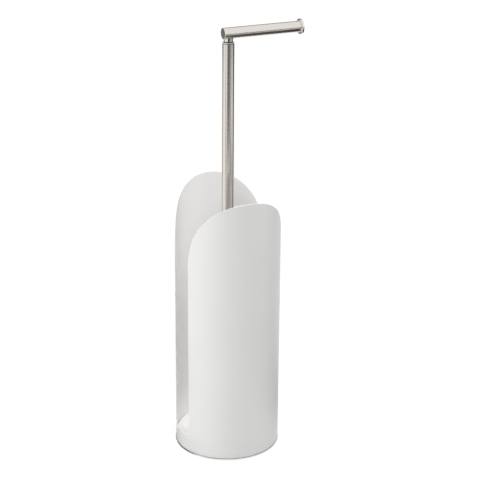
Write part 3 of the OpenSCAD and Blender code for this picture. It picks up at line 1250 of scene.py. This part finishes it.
@dataclass(frozen=True)
class Swivel:
    """The pivot on the pole's top: a flanged bush, a pin with a neck, and a snap ring."""

    bush_radius: float = 6 * MM
    bush_bore: float = 5 * MM
    bush_foot: float = 569 * MM
    flange_radius: float = 6.75 * MM
    flange_low: float = 599.05 * MM
    flange_high: float = 599.85 * MM
    pin_radius: float = 4.95 * MM
    pin_foot: float = 564.95 * MM
    pin_soft: float = 0.6 * MM
    groove_radius: float = 4.35 * MM
    groove_low: float = 567.9 * MM
    neck_radius: float = 6.25 * MM
    neck_low: float = 599.9 * MM
    saddle_radius: float = 8.05 * MM
    stud_radius: float = 3 * MM
    stud_low: float = 600.4 * MM
    stud_top: float = 614 * MM
    stud_soft: float = 0.4 * MM
    clip_radius: float = 5.8 * MM
    clip_bore: float = 4.4 * MM
    clip_low: float = 567.95 * MM
    clip_high: float = 568.95 * MM
    clip_open: float = math.radians(60)
    clip_steps: int = 80

    def bush(self) -> None:
        """Builds the dark bush whose flange shows as a thin line under the neck."""
        corners = [
            Corner(self.bush_bore, self.bush_foot, FINE_EDGE),
            Corner(self.bush_radius, self.bush_foot, LEAD_EDGE),
            Corner(self.bush_radius, self.flange_low),
            Corner(self.flange_radius, self.flange_low, FINE_EDGE),
            Corner(self.flange_radius, self.flange_high, SOFT_EDGE),
            Corner(self.bush_bore, self.flange_high, FINE_EDGE),
        ]
        made = Turned(corners).raw("flanged_bush")
        enrolled(smoothed(made, BLACK_PLASTIC_AND_SEAM_SHADE.material()), Body.BUSH, Slot.BUSH_PLASTIC, "swivel_bush")

    def neck(self) -> None:
        """Builds the turned pin, its groove, the saddle under the arm and the stud."""
        corners = [
            Corner(0, self.pin_foot),
            Corner(self.pin_radius, self.pin_foot, self.pin_soft),
            Corner(self.pin_radius, self.groove_low, HAIR_EDGE),
            Corner(self.groove_radius, self.groove_low, HAIR_EDGE),
            Corner(self.groove_radius, self.bush_foot, HAIR_EDGE),
            Corner(self.pin_radius, self.bush_foot, HAIR_EDGE),
            Corner(self.pin_radius, self.neck_low),
            Corner(self.neck_radius, self.neck_low, ROUND_EDGE),
            Corner(self.neck_radius, ARM_HEIGHT),
            Corner(0, ARM_HEIGHT),
        ]
        made = Turned(corners).raw("pivot_neck")
        reach = 2 * self.neck_radius
        saddle = Turned(
            rod(self.saddle_radius, -reach, reach), Axis.X, (0, 0, ARM_HEIGHT), steps=FINE_STEPS
        )
        stud = rod(self.stud_radius, self.stud_low, self.stud_top, self.stud_soft)
        Tool([saddle]).use(made)
        Tool([Turned(stud, steps=STUD_STEPS)], Cut.ADD).use(made)
        enrolled(smoothed(made, POLISHED_POLE.material()), Body.ARM, Slot.POLISHED_STEEL, "arm_neck")

    def clip(self) -> None:
        """Builds the snap ring, open towards the arm."""
        corners = [
            Corner(self.clip_bore, self.clip_low, HAIR_EDGE),
            Corner(self.clip_radius, self.clip_low, CRISP_EDGE),
            Corner(self.clip_radius, self.clip_high, CRISP_EDGE),
            Corner(self.clip_bore, self.clip_high, HAIR_EDGE),
        ]
        first, sweep = self.clip_open / 2, math.tau - self.clip_open
        ring = Turned(corners, steps=self.clip_steps, soft_steps=3, first=first, sweep=sweep)
        made = smoothed(ring.raw("open_clip"), SPRING_STEEL.material())
        enrolled(made, Body.ARM, Slot.FASTENER, "snap_ring")

    def build(self) -> None:
        """Builds the pivot's three pieces."""
        self.bush()
        self.neck()
        self.clip()


@dataclass(frozen=True)
class Arm:
    """The brushed arm, the hub in its near end and the polished stop at its far end."""

    radius: float = 8 * MM
    bore: float = 7 * MM
    near: float = -8 * MM
    cap: float = 1.2 * MM
    cap_soft: float = 0.5 * MM
    cap_edge: float = 0.1 * MM
    plug_radius: float = 6.95 * MM
    hub_end: float = 14 * MM
    stud_bore: float = 3.05 * MM
    stud_bore_top: float = 615 * MM
    stud_hole: float = 3.3 * MM
    far: float = 105 * MM
    stop_end: float = 108 * MM
    stop_radius: float = 11 * MM
    stop_soft: float = 0.6 * MM
    stop_plug: float = 12 * MM

    @property
    def centre(self) -> Point:
        """Gives a point on the arm's axis."""
        return (0.0, 0.0, ARM_HEIGHT)

    def tube(self) -> None:
        """Builds the brushed tube, with the hole for the stud in its underside."""
        start = self.near + self.cap
        corners = [
            Corner(self.bore, start),
            Corner(self.radius, start, CRISP_EDGE),
            Corner(self.radius, self.far, CRISP_EDGE),
            Corner(self.bore, self.far),
        ]
        made = Turned(corners, Axis.X, self.centre, steps=FINE_STEPS).raw("brushed_arm")
        hole = rod(self.stud_hole, ARM_HEIGHT - 2 * self.radius, ARM_HEIGHT)
        Tool([Turned(hole, steps=STUD_STEPS)]).use(made)
        enrolled(smoothed(made, ARM_SATIN.material()), Body.ARM, Slot.BRUSHED_TUBE, "arm_tube")

    def hub(self) -> None:
        """Builds the hub, whose polished face closes the arm's near end."""
        edge = self.near + self.cap
        corners = [
            Corner(0, self.near),
            Corner(self.radius, self.near, self.cap_soft),
            Corner(self.radius, edge, self.cap_edge),
            Corner(self.plug_radius, edge),
            Corner(self.plug_radius, self.hub_end, WIDE_EDGE),
            Corner(0, self.hub_end),
        ]
        made = Turned(corners, Axis.X, self.centre, steps=FINE_STEPS).raw("hub_cap")
        bore = rod(self.stud_bore, ARM_HEIGHT - 2 * self.radius, self.stud_bore_top)
        Tool([Turned(bore, steps=STUD_STEPS)]).use(made)
        enrolled(smoothed(made, POLISHED_ARM.material()), Body.ARM, Slot.POLISHED_STEEL, "arm_hub")

    def stop(self) -> None:
        """Builds the round stop with its plug."""
        corners = [
            Corner(0, self.far - self.stop_plug),
            Corner(self.plug_radius, self.far - self.stop_plug, WIDE_EDGE),
            Corner(self.plug_radius, self.far),
            Corner(self.stop_radius, self.far, self.stop_soft),
            Corner(self.stop_radius, self.stop_end, self.stop_soft),
            Corner(0, self.stop_end),
        ]
        made = Turned(corners, Axis.X, self.centre, steps=FINE_STEPS, soft_steps=8).raw("end_disc")
        enrolled(smoothed(made, POLISHED_ARM.material()), Body.ARM, Slot.POLISHED_STEEL, "arm_end_stop")

    def build(self) -> None:
        """Builds the arm's three pieces."""
        self.tube()
        self.hub()
        self.stop()


@dataclass(frozen=True)
class Viewpoint:
    """The camera of the picture, as fitted to its edges."""

    place: Point = (-0.80069, -1.92652, 1.12608)
    heading: float = 23.048
    tilt: float = 21.304
    roll: float = 0.392
    lens: float = 118.840
    sensor: float = 36.0

    def build(self) -> None:
        """Makes the scene's camera, whose heading is measured from +Y towards +X."""
        heading, tilt, roll = (math.radians(a) for a in (self.heading, self.tilt, self.roll))
        level = math.cos(tilt)
        look = Vector((math.sin(heading) * level, math.cos(heading) * level, -math.sin(tilt)))
        right = Vector((math.cos(heading), -math.sin(heading), 0.0))
        up = right.cross(look)
        across = right * math.cos(roll) + up * math.sin(roll)
        upward = up * math.cos(roll) - right * math.sin(roll)
        data = bpy.data.cameras.new("picture_camera")
        data.lens, data.sensor_width = self.lens, self.sensor
        camera = linked(bpy.data.objects.new("picture_camera", data))
        turn = Matrix((across, upward, -look)).transposed()
        camera.matrix_world = Matrix.Translation(self.place) @ turn.to_4x4()
        bpy.context.scene.camera = camera


def around(bearing: float, distance: float) -> Spot:
    """Gives a place on the floor by its bearing in degrees, from -Y towards +X, and its distance."""
    angle = math.radians(bearing)
    return (distance * math.sin(angle), -distance * math.cos(angle))


@dataclass(frozen=True)
class Lamp:
    """One soft square lamp that points at the holder."""

    name: str
    bearing: float
    distance: float
    height: float
    size: float
    level: float
    aim: float = 0.28

    def build(self) -> None:
        """Makes the lamp. Its level is what it adds to a white card that faces it."""
        spot = Vector((*around(self.bearing, self.distance), self.height))
        ray = Vector((0.0, 0.0, self.aim)) - spot
        data = bpy.data.lights.new(self.name, "AREA")
        data.shape, data.size = "SQUARE", self.size
        data.energy = self.level * math.pi**2 * ray.length_squared
        lamp = linked(bpy.data.objects.new(self.name, data))
        lamp.location = spot
        lamp.rotation_euler = ray.to_track_quat("-Z", "Y").to_euler()
        lamp.visible_glossy = False
        lamp.visible_camera = False


@dataclass(frozen=True, kw_only=True)
class Flag:
    """A dark cloth or card round the set. Only polished and glossy surfaces show it."""

    name: str
    tone: float
    fades: tuple[float, float, float, float]
    height: float = 0.3 * MM
    warmth: float = 0.1
    steps: int = 24

    def build(self) -> None:
        """Makes the cloth with soft borders, unseen by the camera and by the lamps' light."""
        mesh = bpy.data.meshes.new(self.name)
        shares = [step / self.steps for step in range(self.steps + 1)]
        grid = [(u, v) for v in shares for u in shares]
        wide = self.steps + 1
        faces = [
            (row * wide + col, row * wide + col + 1, (row + 1) * wide + col + 1, (row + 1) * wide + col)
            for row in range(self.steps)
            for col in range(self.steps)
        ]
        mesh.from_pydata([self.spot(u, v) for u, v in grid], [], faces)
        layer = mesh.uv_layers.new(name="UVMap")
        for loop in mesh.loops:
            layer.data[loop.index].uv = grid[loop.vertex_index]
        mesh.materials.append(self._cloth())
        flag = linked(bpy.data.objects.new(self.name, mesh))
        flag.visible_camera = flag.visible_diffuse = flag.visible_shadow = False
        flag.visible_transmission = flag.visible_volume_scatter = False

    def spot(self, u: float, v: float) -> Point:
        """Gives the place at a share of the cloth's width and depth."""
        raise NotImplementedError

    def _cloth(self) -> bpy.types.Material:
        """Builds the cloth's material, which fades out at its borders.

        Returns:
            The material, which gives off its tone and takes no light.
        """
        made = bpy.data.materials.new(self.name)
        graph = emptied(made)
        split = graph.node("ShaderNodeSeparateXYZ", {0: graph.node("ShaderNodeUVMap").outputs[0]})
        across, deep = (Wire(graph, split.outputs[i]) for i in (0, 1))
        left, right, near, far = self.fades
        cover = across.ramp(0.0, left) * (1.0 - across).ramp(0.0, right)
        cover = cover * deep.ramp(0.0, near) * (1.0 - deep).ramp(0.0, far)
        clear = graph.node("ShaderNodeBsdfTransparent")
        tones = (self.tone * (1 + self.warmth), self.tone, self.tone * (1 - self.warmth))
        cloth = graph.node("ShaderNodeEmission", {"Color": (*tones, 1), "Strength": 1.0})
        mixed = graph.node("ShaderNodeMixShader", {0: cover, 1: clear.outputs[0], 2: cloth.outputs[0]})
        graph.node("ShaderNodeOutputMaterial", {"Surface": mixed.outputs[0]})
        return made


@dataclass(frozen=True, kw_only=True)
class RoundFlag(Flag):
    """A cloth between two bearings and two distances from the pole."""

    start: float
    end: float
    near: float
    far: float

    def spot(self, u: float, v: float) -> Point:
        """Gives a place by its shares of the arc and of the distance."""
        place = around(self.start + (self.end - self.start) * u, self.near + (self.far - self.near) * v)
        return (*place, self.height)


@dataclass(frozen=True, kw_only=True)
class StandingFlag(Flag):
    """An upright card between two bearings, at one distance from the pole.

    Its height is where its lower edge is.
    """

    start: float
    end: float
    distance: float
    rise: float

    def spot(self, u: float, v: float) -> Point:
        """Gives a place by its shares of the arc and of the card's height."""
        place = around(self.start + (self.end - self.start) * u, self.distance)
        return (*place, self.height + self.rise * v)


@dataclass(frozen=True, kw_only=True)
class SquareFlag(Flag):
    """A cloth with four corners: near left, near right, far right and far left."""

    corners: tuple[Spot, Spot, Spot, Spot]

    def spot(self, u: float, v: float) -> Point:
        """Gives a place between the corners.

        Args:
            u: The share of the cloth's width.
            v: The share of its depth.

        Returns:
            The place, at the cloth's height.
        """
        near_left, near_right, far_right, far_left = (Vector(corner) for corner in self.corners)
        place = near_left.lerp(near_right, u).lerp(far_left.lerp(far_right, u), v)
        return (place.x, place.y, self.height)


@dataclass(frozen=True)
class Studio:
    """A pale floor and surround, soft lamps and dark cloths for the steel."""

    surround: float = 0.12
    surround_tint: Colour = (1.0, 0.995, 0.985)
    floor_reach: float = 14.0
    floor_gap: float = 0.062
    floor_tone: float = 0.55
    floor_glow: float = 0.87
    far_glow: float = 1.0
    glow_rise: Span = (0.3, 2.5)
    floor_sides: int = 96
    floor_shadow: float = 0.18

    def seen(self, graph: Graph) -> Wire:
        """Gives 1 for rays from the camera, and from gloss or glass.

        Args:
            graph: The world's or the floor's tree.

        Returns:
            The wire, with 0 for all other rays.
        """
        path = graph.node("ShaderNodeLightPath")
        kinds = ("Is Camera Ray", "Is Glossy Ray", "Is Transmission Ray")
        camera, glossy, clear = (Wire(graph, path.outputs[kind]) for kind in kinds)
        return graph.math("MAXIMUM", graph.math("MAXIMUM", camera, glossy), clear)

    def world(self) -> None:
        """Makes a surround that looks white and lights softly."""
        world = bpy.data.worlds.new("studio_surround")
        graph = emptied(world)
        soft = {"Color": (*self.surround_tint, 1), "Strength": self.surround}
        light = graph.node("ShaderNodeBackground", soft)
        white = graph.node("ShaderNodeBackground", {"Color": (1, 1, 1, 1), "Strength": 1.0})
        mixed = graph.node(
            "ShaderNodeMixShader", {0: self.seen(graph), 1: light.outputs[0], 2: white.outputs[0]}
        )
        graph.node("ShaderNodeOutputWorld", {"Surface": mixed.outputs[0]})
        bpy.context.scene.world = world

    def floor(self) -> None:
        """Makes the floor: a wide ring, so that the holder's underside isn't in the dark."""
        solid = bmesh.new()
        angles = [math.tau * step / self.floor_sides for step in range(self.floor_sides)]
        turns = [(math.cos(angle), math.sin(angle)) for angle in angles]
        rings = [
            [solid.verts.new((radius * across, radius * up, 0.0)) for across, up in turns]
            for radius in (self.floor_gap, self.floor_reach)
        ]
        for step in range(self.floor_sides):
            on = (step + 1) % self.floor_sides
            solid.faces.new((rings[0][step], rings[1][step], rings[1][on], rings[0][on]))
        mesh = bpy.data.meshes.new("studio_floor")
        solid.to_mesh(mesh)
        solid.free()
        mesh.materials.append(self._floor_material())
        floor = linked(bpy.data.objects.new("studio_floor", mesh))

    def _floor_material(self) -> bpy.types.Material:
        """Builds the floor's material: white to the eye, pale to the light, clear from below.

        Returns:
            The material.
        """
        made = bpy.data.materials.new("studio_floor")
        graph = emptied(made)
        pale = graph.node("ShaderNodeBsdfDiffuse", {"Color": (*(self.floor_tone,) * 3, 1)})
        place = graph.node("ShaderNodeTexCoord").outputs["Object"]
        length = graph.node("ShaderNodeVectorMath", {0: place}, operation="LENGTH")
        away = Wire(graph, length.outputs["Value"])
        level = away.ramp(*self.glow_rise) * (self.far_glow - self.floor_glow) + self.floor_glow
        glow = graph.node("ShaderNodeEmission", {"Color": (1, 1, 1, 1), "Strength": level})
        soft = graph.node("ShaderNodeBsdfDiffuse", {"Color": (*(self.floor_shadow,) * 3, 1)})
        white = graph.node("ShaderNodeAddShader", {0: glow.outputs[0], 1: soft.outputs[0]})
        front = graph.node(
            "ShaderNodeMixShader", {0: self.seen(graph), 1: pale.outputs[0], 2: white.outputs[0]}
        )
        clear = graph.node("ShaderNodeBsdfTransparent")
        side = graph.node("ShaderNodeNewGeometry")
        faces = {0: side.outputs["Backfacing"], 1: front.outputs[0], 2: clear.outputs[0]}
        both = graph.node("ShaderNodeMixShader", faces)
        graph.node("ShaderNodeOutputMaterial", {"Surface": both.outputs[0]})
        return made

    def build(self) -> None:
        """Makes the studio."""
        self.world()
        self.floor()
        for lamp in LAMPS:
            lamp.build()
        for flag in FLAGS:
            flag.build()
        bpy.context.scene.view_settings.view_transform = "Standard"


LAMPS = (
    Lamp("left_lamp", bearing=-98.0, distance=1.7, height=0.9, size=1.1, level=0.42),
    Lamp("front_lamp", bearing=-38.0, distance=1.8, height=1.05, size=1.1, level=0.38),
    Lamp("right_lamp", bearing=67.0, distance=1.2, height=1.6, size=1.1, level=0.54),
    Lamp("top_lamp", bearing=0.0, distance=0.0, height=2.0, size=0.4, level=0.32),
    Lamp("well_lamp", bearing=0.0, distance=0.0, height=0.85, size=0.1, level=0.26, aim=0.2),
)

FLAGS = (
    RoundFlag(
        name="camera_side_cloth", start=-42, end=42, near=1.25, far=6.0,
        tone=0.09, fades=(0.05, 0.55, 0.02, 0.1),
    ),
    SquareFlag(
        name="arm_side_cloth", corners=((0.1, 0.12), (0.9, 0.12), (1.0, -1.35), (0.1, -1.15)),
        tone=0.05, fades=(0.1, 0.1, 0.06, 0.2), height=0.6 * MM,
    ),
    RoundFlag(
        name="right_cloth", start=70, end=112, near=0.8, far=4.0,
        tone=0.08, fades=(0.12, 0.12, 0.05, 0.2), height=0.9 * MM,
    ),
    RoundFlag(
        name="left_cloth", start=-170, end=-128, near=0.9, far=2.3,
        tone=0.45, fades=(0.1, 0.25, 0.05, 0.1),
    ),
    RoundFlag(
        name="stripe_cloth", start=-79, end=-65, near=0.9, far=2.3,
        tone=0.4, fades=(0.2, 0.2, 0.05, 0.1),
    ),
    RoundFlag(
        name="low_cloth", start=-62, end=-38, near=0.95, far=1.7,
        tone=0.4, fades=(0.3, 0.05, 0.1, 0.4),
    ),
    RoundFlag(
        name="neck_cloth", start=-16, end=140, near=2.34, far=5.5,
        tone=0.05, fades=(0.03, 0.02, 0.02, 0.2), height=1.2 * MM,
    ),
    RoundFlag(
        name="neck_far_cloth", start=-150, end=-112, near=2.34, far=4.5,
        tone=0.08, fades=(0.02, 0.05, 0.02, 0.1),
    ),
    RoundFlag(
        name="back_cloth", start=-178, end=-148, near=2.2, far=4.0,
        tone=0.16, fades=(0.1, 0.1, 0.05, 0.1), height=1.2 * MM,
    ),
    StandingFlag(
        name="back_card", start=115, end=200, distance=3.0, rise=1.8,
        tone=0.2, fades=(0.2, 0.2, 0.1, 0.1), height=1.8,
    ),
    RoundFlag(
        name="base_cloth", start=-125, end=-58, near=0.0762, far=0.11,
        tone=0.02, fades=(0.03, 0.12, 0.01, 0.1),
    ),
    StandingFlag(
        name="base_card", start=-180, end=-88, distance=0.2, rise=0.09,
        tone=0.02, fades=(0.05, 0.12, 0.01, 0.1),
    ),
)


def main() -> None:
    """Builds camera, studio and sub-assemblies, in that order."""
    logging.basicConfig(level=logging.INFO, format="%(name)s: %(message)s")
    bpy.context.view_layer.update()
    makers: tuple[Callable[[], None], ...] = (
        Viewpoint().build,
        Studio().build,
        Base().build,
        Shell().build,
        Pole().build,
        Swivel().build,
        Arm().build,
    )
    for make in makers:
        make()


if __name__ == "__main__":
    main()
